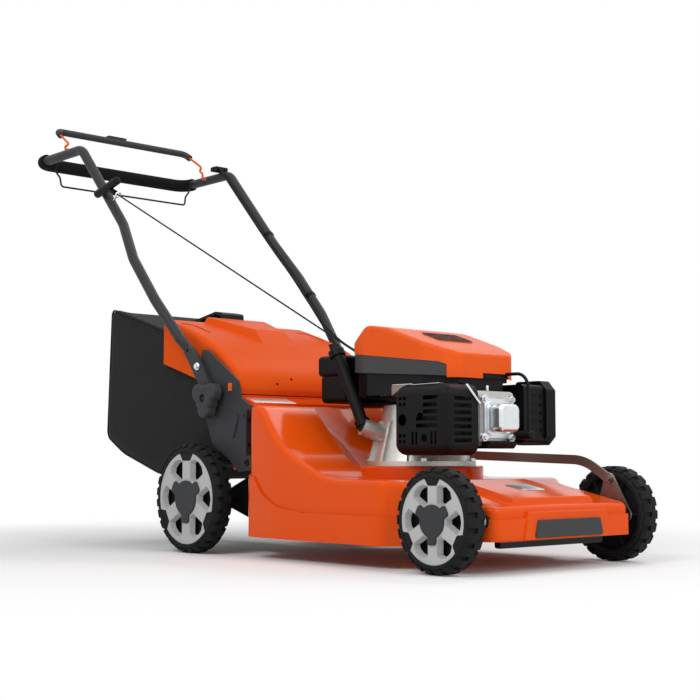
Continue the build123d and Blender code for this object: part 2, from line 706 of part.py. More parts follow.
def blade():
    plate = block(-blade_r, blade_r, -25, 25, 54, 58)
    sail_face = outline([(14, 54), (25, 54), (33, 76), (30, 78), (20, 58), (14, 58)])
    sail = slab_x(sail_face, 168, blade_r - 4)
    flip = Rot(0, 0, 180) * sail
    blank = plate + [sail, flip]
    blank -= Cylinder(crank_r - 4, 200)
    return Pos(engine_x, 0, 0) * blank


def blade_bolt():
    washer = slab_z(Circle(22), 50.5, 53.8)
    head = slab_z(RegularPolygon(11, 6), 42, 50.5)
    shank = slab_z(Circle(6.5), 50.5, 58)
    return Pos(engine_x, 0, 0) * (washer + [head, shank])


gear_y = 75.0


def gearbox():
    case = block(-30, 38, gear_y - 34, gear_y + 34, 96, 148)
    case = fillet(case.edges(), 12)
    shaft = hole_y(0, rear_wheel_r, 7, -213, 213)
    pulley_face = outline([
        (0, 146), (20, 146), (20, 148.5), (42, 148.5), (42, 151), (38, 153), (38, 161), (42, 163), (0, 163)])
    pulley = Pos(0, gear_y, 0) * revolve(Plane.XZ * pulley_face, axis=Axis.Z)
    return case + [shaft, pulley]


def drive_belt():
    def loop(grow):
        rings = (Pos(engine_x, 0) * Circle(31 + grow)).edges() + (Pos(0, gear_y) * Circle(39 + grow)).edges()
        return make_hull(rings)
    return slab_z(loop(7) - loop(0), 153.5, 160.5)


# Rear hood over the bag mouth
hood_curve = [(113, 374), (104, 404), (64, 446), (12, 480), (-60, 513), (-190, 556)]


def inset_curve(points, d):
    moved = []
    for i, (x, z) in enumerate(points):
        xa, za = points[max(0, i - 1)]
        xb, zb = points[min(len(points) - 1, i + 1)]
        length = hypot(xb - xa, zb - za)
        moved.append((x + d * (zb - za) / length * -1, z + d * (xb - xa) / length))
    return moved


def hood_profile(inset):
    if not inset:
        top = Spline(*hood_curve)
        rest = Polyline(hood_curve[-1], (-190, 446), (-57, 405), (80, 362), (110, 362), hood_curve[0])
        return make_face([*top.edges(), *rest.edges()])
    curve = inset_curve(hood_curve, inset)
    curve[0] = (curve[0][0], 350)
    curve[-1] = (curve[-1][0] - 20, curve[-1][1] + 6)
    top = Spline(*curve)
    rest = Polyline(curve[-1], (curve[-1][0], 330), (curve[0][0], 330), curve[0])
    return make_face([*top.edges(), *rest.edges()])


def hood_ridge():
    base = outline([(-302, -229), (130, 0), (-302, 229)])
    wedge = extrude(Plane.XY.offset(460) * base, amount=115, taper=32)
    ridge = wedge & slab_y(outline([(-190, 530), (-190, 570), (-54, 532), (-4, 484), (-40, 470)]), -200, 200)
    crests = ridge.edges().filter_by(lambda e: e.center().Z > 505 and e.center().X > -188)
    return fillet(crests, 8)


def rear_hood():
    outer = slab_y(hood_profile(0), -hood_half_w, hood_half_w)
    crest = outer.edges().filter_by(lambda e: e.length > 300 and abs(e.center().Y) > 200)
    crest = crest.sort_by(Axis.Z)[-2:]
    outer = fillet(crest, 14)
    outer += hood_ridge()
    inner = slab_y(hood_profile(hood_t), -hood_half_w + hood_t, hood_half_w - hood_t)
    hood = outer - inner
    knuckles = []
    for y in (-150, 0, 150):
        knuckles.append(hole_y(hinge[0], hinge[1], 9.4, y - 30, y + 30))
    hood = hood + knuckles
    cuts = [hole_y(hinge[0], hinge[1], hinge_rod_r + running_gap, -300, 300)]
    for y, z in ((-106, 388), (-60, 401)):
        cuts.append(rod((85, y, z), (130, y, z), 3.5))
    for y in (-182, 182):
        recess = fillet(Box(86, 40, 12).edges().filter_by(Axis.Z), 10)
        cuts.append(Pos(-112, y, 535.5) * Rot(0, 18.3, 0) * recess)
    return hood - cuts


def hood_rod():
    pin = hole_y(hinge[0], hinge[1], hinge_rod_r, -bracket_y[1], bracket_y[1])
    width, height = pivot_block
    end = slab_y(Pos(*hinge) * Rectangle(width - 0.4, height - 0.4), -bracket_y[0], -bracket_y[1])
    return pin + [end, left_of(end)]


# Bag: fabric sides on a wire frame, open at the front
bag_half_w = 205.0


def bag_profile(inset):
    points = [
        (96 + (20 if inset else 0), 197 + inset), (96 + (20 if inset else 0), 352 - inset), (52, 405 - inset),
        (-20, 450 - inset), (-190, 524 - inset), (-452 + inset, 602 - inset), (-470 + inset, 272 + inset),
        (-392, 230 + inset), (-232, 172 + inset), (-150, 162 + inset), (-70, 197 + inset)]
    radii = [2, 4, 30, 60, 80, 22, 18, 20, 60, 40, 30]
    return soft_outline(points, radii)


def bag_fabric():
    outer = slab_y(bag_profile(0), -bag_half_w, bag_half_w)
    rims = outer.edges().filter_by(lambda e: abs(abs(e.center().Y) - bag_half_w) < 0.5 and e.center().X < 94)
    outer = fillet(rims, 8)
    inner = slab_y(bag_profile(4), -bag_half_w + 4, bag_half_w - 4)
    return outer - inner


def bag_frame():
    y = bag_half_w - 10
    loop = bent_rod([
        (90, -y, 206), (90, y, 206), (90, y, 340), (90, -y, 340), (90, -y, 214)], 4, [12, 12, 12])
    strap_face = soft_outline(
        [(-352, 574.6), (-330, 576), (-236, 592), (-206, 586), (-203, 528.2), (-210, 530.4), (-213, 579),
         (-236, 585), (-328, 568.5), (-352, 572.6)], [0.3, 8, 8, 8, 1, 1, 2, 3, 4, 0.3])
    return Compound(children=[loop, slab_y(strap_face, -34, 34)])


# Handle and what it carries
foot_top = (-58.0, 473.0)
bail_pivot = (-656.0, apex[1])
bail_top = (-742.0, 1126.0)
bail_wire_r = 3.2
sleeve_r = 9.5
drive_pivot = (-724.0, apex[1])
drive_wire_r = 2.6
bail_reach = top_half_w - tube_r + 3.5
tube_start = (-80.0, -(foot_y[0] + tube_r + 0.4), 498.0)


def handle_points():
    side = [
        tube_start, (-165, -low_half_w, 599), (-262, -low_half_w, 708), (-345, -top_half_w, 808),
        (apex[0], -top_half_w, apex[1]), (crossbar_x, -top_half_w, apex[1])]
    other = [(x, -y, z) for x, y, z in reversed(side)]
    return side + other


def handle_tube():
    bends = [120, 120, 120, 44, 38, 38, 44, 120, 120, 120]
    points = handle_points()
    tube = bent_rod(points, tube_r, bends, tube_r - tube_wall)
    flat_mid = -(foot_y[0] + foot_y[1]) / 2
    run = (Vector(*points[1]) - Vector(*points[0])).normalized()
    foot_face = hull_of([(pivot[0], pivot[1], 17), (screw[0], screw[1], 15), (foot_top[0], foot_top[1], 13)])
    foot = slab_y(foot_face, -foot_y[0], -foot_y[1])
    flat_plane = Plane(origin=(foot_top[0], flat_mid, foot_top[1]), x_dir=(0, 1, 0), z_dir=(run.X, 0, run.Z))
    round_plane = Plane(origin=points[0], x_dir=(0, 1, 0), z_dir=run)
    neck = loft([flat_plane * RectangleRounded(foot_y[1] - foot_y[0], 26, 4.9), round_plane * Circle(tube_r)])
    foot = foot + neck
    handle = tube + [foot, left_of(foot)]
    handle -= hole_y(pivot[0], pivot[1], stud_r + running_gap, -300, 300)
    handle -= hole_y(spare_hole[0], spare_hole[1], 4.2, -300, 300)
    for at, r in ((bail_pivot, bail_wire_r), (drive_pivot, drive_wire_r)):
        handle -= hole_y(at[0], at[1], r + 0.1, -bail_reach - 0.5, bail_reach + 0.5)
    return handle


def handle_grip():
    y = top_half_w
    z = apex[1]
    points = [(crossbar_x + 44, -y, z), (crossbar_x, -y, z), (crossbar_x, y, z), (crossbar_x + 44, y, z)]
    return bent_rod(points, grip_r, [38, 38], tube_r)


def knob():
    face = Sketch() + Circle(31)
    for i in range(3):
        face += Rot(0, 0, 30 + 120 * i) * Pos(26, 0) * Circle(21)
    body = extrude(face, 24)
    body = fillet(body.faces().sort_by(Axis.Z)[-1].edges(), 8)
    body -= Pos(0, 0, 20) * Cylinder(10, 12)
    body -= Cylinder(stud_r + running_gap, 100)
    seat = Plane(origin=(pivot[0], -foot_y[1] - 0.3, pivot[1]), x_dir=(1, 0, 0), z_dir=(0, -1, 0))
    return seat.location * body


def bail_arm():
    px, pz = bail_pivot
    tx, tz = bail_top
    return [
        (px, -bail_reach, pz), (px, -bail_reach + 14, pz), (px - 4, -bail_reach + 14, pz + 20),
        (px - 36, -bail_reach + 5, pz + 30), (px - 6, -bail_reach + 14, pz + 36), (tx + 28, -218, tz - 18),
        (tx, -214, tz)]


def brake_bail():
    arm = bail_arm()
    other = [(x, -y, z) for x, y, z in reversed(arm)]
    bends = [5, 8, 5, 5, 10, 16]
    return bent_rod(arm + other, bail_wire_r, bends + bends[::-1])


def bail_sleeve():
    arm = bail_arm()
    low = Vector(*arm[-2])
    high = Vector(*arm[-1])
    start = low + (high - low) * 0.15
    points = [start, high, (high.X, -high.Y, high.Z), (start.X, -start.Y, start.Z)]
    sleeve = bent_rod([tuple(p) for p in points], sleeve_r, [16, 16], bail_wire_r + 0.02)
    tx, tz = bail_top
    tab = block(tx - 14, tx + 6, -52, 8, tz + sleeve_r - 1, tz + sleeve_r + 5)
    tab = fillet(tab.edges().filter_by(Axis.Z), 3)
    return sleeve + tab


def drive_bail():
    px, pz = drive_pivot
    arm = [
        (px, -bail_reach, pz), (px, -bail_reach + 10, pz), (px - 8, -bail_reach + 12, pz - 28),
        (px - 6, -211, pz - 44), (px - 4, -207, pz - 69)]
    other = [(x, -y, z) for x, y, z in reversed(arm)]
    return bent_rod(arm + other, drive_wire_r, [3, 8, 8, 9, 9, 8, 8, 3])


guide_at = (-348.0, -260.0, 883.0)
rope_end = (358.0, -80.0, 449.0)
grip_gap = 11.0


def rope_direction():
    return (Vector(*rope_end) - Vector(*guide_at)).normalized()


def starter_rope():
    along = rope_direction()
    start = Vector(*guide_at) - along * (grip_gap - 0.3)
    return rod(start, (Vector(*rope_end) - along * 0.5), 1.9)


def starter_grip():
    along = rope_direction()
    tip = Vector(*guide_at) - along * grip_gap
    stem = rod((tip - along * 30), tip, 7)
    middle = tip - along * 34
    lean = Vector(0.976, 0, 0.22)
    bar = rod((middle - lean * 52), (middle + lean * 52), 10.5)
    bar = fillet(bar.edges(), 5)
    return stem + bar


def handle_hardware():
    eye = Plane(origin=guide_at, z_dir=rope_direction()).location * Torus(7, 2.4)
    tube_spot = Vector(-401, -246, 872)
    reach = (Vector(*guide_at) - tube_spot).normalized()
    stem = rod(tube_spot + reach * 16.0, Vector(*guide_at) - reach * 6.6, 2.4)
    solids = [eye + stem]
    for sign in (-1, 1):
        washer = hole_y(screw[0], screw[1], 9, sign * foot_y[1], sign * (foot_y[1] + 1.5))
        head = slab_y(Pos(*screw) * RegularPolygon(6.5, 6), sign * (foot_y[1] + 1.5), sign * (foot_y[1] + 6))
        solids.append(washer + head)
    return Compound(children=solids)


def control_cables():
    first = [
        (-571.4, 226, 1057), (-540, 227, 1022), (-340, 227, 802), (-262, 249, 706), (-190, 249.5, 622),
        (-60, 228, 500), (60, 228, 430), (150, 226, 396), (194, 196, 378), (203, 172, 332)]
    second = [
        (-571.4, 219, 1057), (-540, 220, 1022), (-340, 220, 807), (-262, 242, 711), (-190, 242.5, 628),
        (-60, 228, 520), (80, 229, 462), (230, 210, 424), (330, 150, 400), (386, 128, 392)]
    bends = [14, 60, 60, 60, 60, 60, 30, 12]
    cables = []
    for points in (first, second):
        cables.append(bent_rod(points, 2.6, bends))
    return Compound(children=cables)


def cable_clips():
    clamp = block(-606, -574, 213, 252, 1051, 1064)
    clamp = fillet(clamp.edges().filter_by(Axis.Y), 4)
    solids = [clamp]
    for spot, run in (
            ((-370.3, 245, 835.6), (211, 0, -230)), ((-213.5, 266.5, 653.5), (97, 0, -109))):
        middle = Vector(*spot)
        along = Vector(*run).normalized()
        band = rod(middle - along * 5, middle + along * 5, tube_r + 1.9)
        solids.append(band - rod(middle - along * 6, middle + along * 6, tube_r + 0.2))
    return Compound(children=solids)


nodes = {}
for name, x, z, r, trim, count in (
        ("front", wheelbase, front_wheel_r, front_wheel_r, front_trim_r, 22),
        ("rear", 0.0, rear_wheel_r, rear_wheel_r, rear_trim_r, 28)):
    pieces = (
        ("wheel", wheel_body(r, trim, count)), ("wheel_trim", wheel_trim(trim)), ("hub_cap", hub_cap(trim)))
    for piece, shape in pieces:
        right = place_wheel(shape, x, z)
        nodes[piece + "_" + name + "_right"] = right
        nodes[piece + "_" + name + "_left"] = left_of(right)
nodes["front_axle"] = axle(front_pivot, (wheelbase, front_wheel_r), front_link_pin)
nodes["rear_axle"] = axle(rear_pivot, (0.0, rear_wheel_r), rear_link_pin)
nodes["height_link"] = height_link()
nodes["height_gate"] = height_gate()
nodes["deck_shell"] = deck_shell()
nodes["bumper_trim"] = bumper_trim()
nodes["axle_bearings"] = axle_bearings()
nodes["handle_bracket_right"] = handle_bracket()
nodes["handle_bracket_left"] = left_of(handle_bracket())
nodes["fasteners"] = fasteners()
nodes["crankcase"] = crankcase()
nodes["cylinder"] = cylinder()
nodes["valve_cover"] = valve_cover()
nodes["muffler"] = muffler()
nodes["muffler_guard"] = muffler_guard()
nodes["carburettor"] = carburettor()
nodes["air_filter_box"] = air_filter_box()
nodes["air_filter_lid"] = air_filter_lid()
nodes["spark_plug"] = spark_plug()
nodes["engine_cowl"] = engine_cowl()
nodes["cowl_band"] = cowl_band()
nodes["fuel_tank"] = fuel_tank()
nodes["fuel_cap"] = fuel_cap()
nodes["oil_filler_tube"] = oil_filler_tube()
nodes["oil_dipstick"] = oil_dipstick()
nodes["crankshaft"] = crankshaft()
nodes["flywheel"] = flywheel()
nodes["blade_adapter"] = blade_adapter()
nodes["blade"] = blade()
nodes["blade_bolt"] = blade_bolt()
nodes["gearbox"] = gearbox()
nodes["drive_belt"] = drive_belt()
nodes["rear_hood"] = rear_hood()
nodes["hood_rod"] = hood_rod()
nodes["bag_fabric"] = bag_fabric()
nodes["bag_frame"] = bag_frame()
nodes["handle_tube"] = handle_tube()
nodes["handle_grip"] = handle_grip()
nodes["handle_knob_right"] = knob()
nodes["handle_knob_left"] = left_of(knob())
nodes["brake_bail"] = brake_bail()
nodes["bail_sleeve"] = bail_sleeve()
nodes["drive_bail"] = drive_bail()
nodes["starter_rope"] = starter_rope()
nodes["starter_grip"] = starter_grip()
nodes["handle_hardware"] = handle_hardware()
nodes["control_cables"] = control_cables()
nodes["cable_clips"] = cable_clips()

os.makedirs("parts", exist_ok=True)
for name, shape in nodes.items():
    export_step(Pos(frame_shift_x, 0, 0) * shape, "parts/" + name + ".step")
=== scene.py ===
import math

import bpy
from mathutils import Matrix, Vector


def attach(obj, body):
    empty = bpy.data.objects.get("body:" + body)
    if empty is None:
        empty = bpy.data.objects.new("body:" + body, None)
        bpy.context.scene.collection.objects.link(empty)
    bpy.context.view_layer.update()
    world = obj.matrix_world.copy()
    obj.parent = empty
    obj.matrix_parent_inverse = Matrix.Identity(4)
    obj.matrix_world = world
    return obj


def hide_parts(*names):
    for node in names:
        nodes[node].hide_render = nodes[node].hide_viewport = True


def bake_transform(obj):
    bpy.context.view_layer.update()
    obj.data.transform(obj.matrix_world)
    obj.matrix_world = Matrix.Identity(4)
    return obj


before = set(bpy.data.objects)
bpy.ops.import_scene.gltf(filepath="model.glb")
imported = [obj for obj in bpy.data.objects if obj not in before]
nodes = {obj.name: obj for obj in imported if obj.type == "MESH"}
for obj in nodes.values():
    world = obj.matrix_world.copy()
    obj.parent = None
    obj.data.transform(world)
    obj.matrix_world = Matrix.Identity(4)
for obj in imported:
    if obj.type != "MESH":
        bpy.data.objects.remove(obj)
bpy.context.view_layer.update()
bpy.ops.object.select_all(action="DESELECT")
print("frame loaded with", len(nodes), "nodes")


def linearOf(hexText):
    channels = []
    for start in (0, 2, 4):
        c = int(hexText[start:start + 2], 16) / 255
        channels.append(c / 12.92 if c <= 0.04045 else ((c + 0.055) / 1.055) ** 2.4)
    return (*channels, 1.0)


def perMm(size):
    return 1000.0 / size    # texture scale that gives features of that many millimetres


def addNode(tree, kind, settings=None, links=None):
    node = tree.nodes.new(kind)
    for key, value in (settings or {}).items():
        if isinstance(key, str) and hasattr(node, key):
            setattr(node, key, value)
        else:
            node.inputs[key].default_value = value
    for key, source in (links or {}).items():
        tree.links.new(source, node.inputs[key])
    return node


# places of the two colours and of the result among the Mix node's sockets
mixFirst = 6
mixSecond = 7
mixResult = 2
white = linearOf("FFFFFF")


# a material with its shader's own values set, and the Object coordinates that its patterns read
def startMaterial(name, colour, rough, metal=0.0, shine=0.5, sheen=None):
    material = bpy.data.materials.new(name)
    material.use_nodes = True
    tree = material.node_tree
    shader = tree.nodes["Principled BSDF"]
    settings = {"Base Color": linearOf(colour), "Roughness": rough, "Metallic": metal}
    settings["Specular IOR Level"] = shine
    settings.update(sheen or {})
    for key, value in settings.items():
        shader.inputs[key].default_value = value
    place = addNode(tree, "ShaderNodeTexCoord").outputs["Object"]
    return material, tree, shader, place


# a fine relief over the whole surface
def raiseGrain(tree, shader, place, sizeMm, depthMm, detail=3.0):
    noise = addNode(tree, "ShaderNodeTexNoise", {"Scale": perMm(sizeMm), "Detail": detail},
                    {"Vector": place})
    bump = addNode(tree, "ShaderNodeBump", {"Distance": depthMm / 1000, "Strength": 1.0},
                   {"Height": noise.outputs["Fac"]})
    tree.links.new(bump.outputs["Normal"], shader.inputs["Normal"])


# soft patches of a lighter and a darker colour
def mottle(tree, shader, place, sizeMm, light, dark, detail=4.0):
    noise = addNode(tree, "ShaderNodeTexNoise", {"Scale": perMm(sizeMm), "Detail": detail},
                    {"Vector": place})
    colours = {"data_type": "RGBA", mixFirst: linearOf(dark), mixSecond: linearOf(light)}
    mix = addNode(tree, "ShaderNodeMix", colours, {0: noise.outputs["Fac"]})
    tree.links.new(mix.outputs[mixResult], shader.inputs["Base Color"])


# powder-coated pressed steel: deep gloss with a faint orange peel
def makeDeckPaint():
    material, tree, shader, place = startMaterial(
        "powderCoatedSteelOrange", "E5520F", rough=0.12, shine=0.1)
    mottle(tree, shader, place, sizeMm=90, light="E75410", dark="E24F0D")
    raiseGrain(tree, shader, place, sizeMm=6.0, depthMm=0.012, detail=1.0)
    return material


# injection-moulded ABS and polypropylene covers: bright, smooth, with a fine mould grain
def makeOrangeMoulding(name, light, dark, rough, shine):
    material, tree, shader, place = startMaterial(name, light, rough, shine=shine)
    mottle(tree, shader, place, sizeMm=120, light=light, dark=dark)
    raiseGrain(tree, shader, place, sizeMm=1.2, depthMm=0.01)
    return material


# powder coat and heat paint on tube, plate and wire: satin, with a fine speckle
def makeSatinCoat(name, light, dark, rough):
    material, tree, shader, place = startMaterial(name, light, rough, shine=0.12)
    mottle(tree, shader, place, sizeMm=2.5, light=light, dark=dark)
    raiseGrain(tree, shader, place, sizeMm=1.4, depthMm=0.03)
    return material


# tyre compound: dull black with faint dusty patches
def makeTyreRubber():
    material, tree, shader, place = startMaterial("tyreRubber", "171718", rough=0.7, shine=0.12)
    mottle(tree, shader, place, sizeMm=14, light="232324", dark="18181A")
    raiseGrain(tree, shader, place, sizeMm=1.6, depthMm=0.08)
    return material


# moulded nylon, ABS and PVC: even, soft sheen from a spark-eroded mould
def makeMoulded(name, light, dark, rough, grainMm, depthMm):
    material, tree, shader, place = startMaterial(name, light, rough, shine=0.12)
    mottle(tree, shader, place, sizeMm=30, light=light, dark=dark)
    raiseGrain(tree, shader, place, grainMm, depthMm)
    return material


# two-tone moulding: one grey above a straight edge, black below it
def makeTwoTone(name, upper, lower, slope, height):
    material, tree, shader, place = startMaterial(name, upper, rough=0.42, shine=0.15)
    axes = addNode(tree, "ShaderNodeSeparateXYZ", None, {0: place})
    line = addNode(tree, "ShaderNodeMath", {"operation": "MULTIPLY_ADD", 1: slope, 2: height},
                   {0: axes.outputs["X"]})
    above = addNode(tree, "ShaderNodeMath", {"operation": "GREATER_THAN"},
                    {0: axes.outputs["Z"], 1: line.outputs[0]})
    colours = {"data_type": "RGBA", mixFirst: linearOf(lower), mixSecond: linearOf(upper)}
    mix = addNode(tree, "ShaderNodeMix", colours, {0: above.outputs[0]})
    tree.links.new(mix.outputs[mixResult], shader.inputs["Base Color"])
    raiseGrain(tree, shader, place, sizeMm=1.2, depthMm=0.02)
    return material


# die-cast aluminium: sandy skin with darker pores
def makeCastAluminium():
    material, tree, shader, place = startMaterial("dieCastAluminium", "CFCDC9", rough=0.43, metal=0.85)
    mottle(tree, shader, place, sizeMm=9, light="D6D4D0", dark="B4B2AE")
    raiseGrain(tree, shader, place, sizeMm=1.8, depthMm=0.12)
    return material


# zinc plate: bright, cool, with faint clouds of passivate
def makeZincPlate():
    material, tree, shader, place = startMaterial("zincPlatedSteel", "E3E8EA", rough=0.32, metal=1.0)
    mottle(tree, shader, place, sizeMm=12, light="E8EDEF", dark="D0D6D9")
    raiseGrain(tree, shader, place, sizeMm=3.0, depthMm=0.02)
    return material


# bolts: bright zinc, but blackened steel behind "rear" and further out than "wide", in metres
boltSpec = {"bright": "DDE2E5", "black": "2A2A2C", "wide": 0.222, "rear": 0.2}


def makeBoltSteel():
    material, tree, shader, place = startMaterial(
        "zincAndBlackenedSteel", boltSpec["bright"], rough=0.34, metal=1.0)
    axes = addNode(tree, "ShaderNodeSeparateXYZ", None, {0: place})
    across = addNode(tree, "ShaderNodeMath", {"operation": "ABSOLUTE"}, {0: axes.outputs["Y"]})
    wide = addNode(tree, "ShaderNodeMath", {"operation": "GREATER_THAN", 1: boltSpec["wide"]},
                   {0: across.outputs[0]})
    rear = addNode(tree, "ShaderNodeMath", {"operation": "LESS_THAN", 1: boltSpec["rear"]},
                   {0: axes.outputs["X"]})
    both = addNode(tree, "ShaderNodeMath", {"operation": "MULTIPLY"},
                   {0: wide.outputs[0], 1: rear.outputs[0]})
    colours = {"data_type": "RGBA", mixFirst: linearOf(boltSpec["bright"]),
               mixSecond: linearOf(boltSpec["black"])}
    mix = addNode(tree, "ShaderNodeMix", colours, {0: both.outputs[0]})
    tree.links.new(mix.outputs[mixResult], shader.inputs["Base Color"])
    raiseGrain(tree, shader, place, sizeMm=3.0, depthMm=0.02)
    return material


# rolled strip: brown-grey, brushed along its length
rolledSpec = {"alongMm": 60, "acrossMm": 0.8, "depthMm": 0.04, "light": "9A8F86", "dark": "7B7068"}


def makeRolledStrip():
    material, tree, shader, place = startMaterial("rolledSteelStrip", "8D8178", rough=0.36, metal=1.0)
    across = perMm(rolledSpec["acrossMm"])
    stretch = addNode(tree, "ShaderNodeMapping",
                      {"Scale": (perMm(rolledSpec["alongMm"]), across, across)}, {"Vector": place})
    noise = addNode(tree, "ShaderNodeTexNoise", {"Scale": 1.0, "Detail": 3.0},
                    {"Vector": stretch.outputs["Vector"]})
    colours = {"data_type": "RGBA", mixFirst: linearOf(rolledSpec["dark"]),
               mixSecond: linearOf(rolledSpec["light"])}
    mix = addNode(tree, "ShaderNodeMix", colours, {0: noise.outputs["Fac"]})
    tree.links.new(mix.outputs[mixResult], shader.inputs["Base Color"])
    bump = addNode(tree, "ShaderNodeBump", {"Distance": rolledSpec["depthMm"] / 1000},
                   {"Height": noise.outputs["Fac"]})
    tree.links.new(bump.outputs["Normal"], shader.inputs["Normal"])
    return material


# closed-cell foam: matt, pitted with small cells
foamSpec = {"cellMm": 1.6, "depthMm": 0.3}


def makeFoam():
    material, tree, shader, place = startMaterial("closedCellFoam", "17171A", rough=0.9, shine=0.1)
    cells = addNode(tree, "ShaderNodeTexVoronoi", {"Scale": perMm(foamSpec["cellMm"])}, {"Vector": place})
    bump = addNode(tree, "ShaderNodeBump", {"Distance": foamSpec["depthMm"] / 1000},
                   {"Height": cells.outputs["Distance"]})
    tree.links.new(bump.outputs["Normal"], shader.inputs["Normal"])
    mottle(tree, shader, place, sizeMm=20, light="1B1B1D", dark="121213")
    return material


# woven polyester: plain weave, drawn ten times coarser than real so that it shows
weaveSpec = {"threadMm": 5.0, "depthMm": 0.3, "strength": 0.6}
waveTurn = 20    # radians that Blender's wave turns by in one unit, at a scale of 1


def makeBagCloth():
    material, tree, shader, place = startMaterial(
        "wovenPolyester", "1E1E20", rough=0.8, shine=0.12,
        sheen={"Sheen Weight": 0.06, "Sheen Roughness": 0.5})
    scale = perMm(weaveSpec["threadMm"]) * math.tau / waveTurn
    heights = []
    for axis in ("X", "Y", "Z"):
        wave = addNode(tree, "ShaderNodeTexWave", {"bands_direction": axis, "Scale": scale},
                       {"Vector": place})
        heights.append(wave.outputs["Fac"])
    crossing = addNode(tree, "ShaderNodeMath", {"operation": "MULTIPLY"}, {0: heights[0], 1: heights[2]})
    weave = addNode(tree, "ShaderNodeMath", {"operation": "ADD"}, {0: crossing.outputs[0], 1: heights[1]})
    bump = addNode(tree, "ShaderNodeBump",
                   {"Distance": weaveSpec["depthMm"] / 1000, "Strength": weaveSpec["strength"]},
                   {"Height": weave.outputs[0]})
    tree.links.new(bump.outputs["Normal"], shader.inputs["Normal"])
    mottle(tree, shader, place, sizeMm=60, light="222224", dark="19191B")
    return material


# braided nylon: dark, its plait shown as fine lumps
def makeBraid():
    material, tree, shader, place = startMaterial("braidedNylon", "161618", rough=0.7, shine=0.12)
    raiseGrain(tree, shader, place, sizeMm=2.0, depthMm=0.3)
    mottle(tree, shader, place, sizeMm=3.0, light="232325", dark="0E0E10")
    return material


# ground steel: plain grey with a fine, even grain
def makeGroundSteel():
    material, tree, shader, place = startMaterial("groundSteel", "8E8C89", rough=0.38, metal=1.0)
    mottle(tree, shader, place, sizeMm=16, light="9B9996", dark="777572")
    raiseGrain(tree, shader, place, sizeMm=1.0, depthMm=0.03)
    return material


deckPaint = makeDeckPaint()
orangeAbs = makeOrangeMoulding("glossAbsOrange", "EC5F24", "E75A20", rough=0.26, shine=0.05)
hoodPlastic = makeOrangeMoulding("polypropyleneOrange", "E1561A", "DC5116", rough=0.34, shine=0.02)
tubeCoat = makeSatinCoat("satinPowderCoat", "3B3C3E", "323335", rough=0.42)
plateCoat = makeSatinCoat("texturedPlateCoat", "3A3B3D", "303133", rough=0.48)
wireCoat = makeSatinCoat("orangeWireCoat", "EE6420", "E45A1A", rough=0.3)
blackWireCoat = makeSatinCoat("blackWireCoat", "232325", "19191B", rough=0.4)
guardCoat = makeSatinCoat("blackHeatPaint", "131314", "0D0D0E", rough=0.5)
tyreRubber = makeTyreRubber()
trimNylon = makeMoulded("greyNylon", "BFC0C1", "B6B7B8", rough=0.5, grainMm=1.5, depthMm=0.03)
capNylon = makeMoulded("darkGreyNylon", "3E3F41", "37383A", rough=0.5, grainMm=1.5, depthMm=0.04)
blackAbs = makeMoulded("blackAbs", "0E0E0F", "0A0A0B", rough=0.45, grainMm=1.5, depthMm=0.04)
blackPvc = makeMoulded("blackPvc", "131314", "0E0E0F", rough=0.55, grainMm=2.0, depthMm=0.02)
# the grey's lower edge on the engine band and on the bumper pad: its height in metres over the frame's X
bandAbs = makeTwoTone("graphiteAbs", "434447", "0C0C0D", slope=-0.065, height=0.424)
bumperAbs = makeTwoTone("bumperPolypropylene", "3E3F41", "0C0C0D", slope=0.0, height=0.061)
castAluminium = makeCastAluminium()
zincPlate = makeZincPlate()
boltSteel = makeBoltSteel()
rolledStrip = makeRolledStrip()
foam = makeFoam()
bagCloth = makeBagCloth()
braid = makeBraid()
groundSteel = makeGroundSteel()

# nodes that aren't named here are black ABS
finishOf = {
    "deck_shell": deckPaint, "rear_hood": hoodPlastic, "engine_cowl": orangeAbs, "cowl_band": bandAbs,
    "bumper_trim": bumperAbs, "handle_tube": tubeCoat, "handle_bracket_right": plateCoat,
    "handle_bracket_left": plateCoat, "handle_grip": foam, "handle_knob_right": capNylon,
    "handle_knob_left": capNylon, "brake_bail": wireCoat, "bail_sleeve": capNylon,
    "drive_bail": blackWireCoat, "starter_rope": braid, "handle_hardware": zincPlate,
    "control_cables": blackPvc, "muffler": guardCoat, "muffler_guard": guardCoat,
    "crankcase": castAluminium, "cylinder": castAluminium, "valve_cover": zincPlate,
    "carburettor": castAluminium, "fasteners": boltSteel, "height_link": rolledStrip,
    "height_gate": plateCoat, "front_axle": groundSteel, "rear_axle": groundSteel, "hood_rod": wireCoat,
    "bag_fabric": bagCloth, "bag_frame": blackWireCoat, "crankshaft": groundSteel,
    "flywheel": castAluminium, "blade_adapter": castAluminium, "blade": groundSteel,
    "blade_bolt": zincPlate, "gearbox": castAluminium, "drive_belt": blackPvc,
}


def coat(piece, finish):
    piece.data.materials.clear()
    piece.data.materials.append(finish)


for name, part in nodes.items():
    finish = finishOf.get(name, blackAbs)
    if name.startswith("wheel_trim"):
        finish = trimNylon
    elif name.startswith("wheel_"):
        finish = tyreRubber
    elif name.startswith("hub_cap"):
        finish = capNylon
    coat(part, finish)
print("finishes set")

# the rear wheel axis in the shared frame; all spots and routes below are measured from it in mm
rearAxleX = -0.044


def framePoint(x, y, z):
    return (rearAxleX + x / 1000, y / 1000, z / 1000)


def metres(step):
    return [mm / 1000 for mm in step]


def pickOnly(piece):
    bpy.ops.object.select_all(action="DESELECT")
    piece.select_set(True)
    bpy.context.view_layer.objects.active = piece


def editAll():
    bpy.ops.object.mode_set(mode="EDIT")
    bpy.ops.mesh.select_all(action="SELECT")


def leaveEdit():
    bpy.ops.object.mode_set(mode="OBJECT")


# steps round a corner and over a broken edge, and the angles from which an edge is broken or stays sharp
edgeSpec = {"cornerSteps": 4, "breakSteps": 2, "breakDegrees": 40, "sharpDegrees": 35}


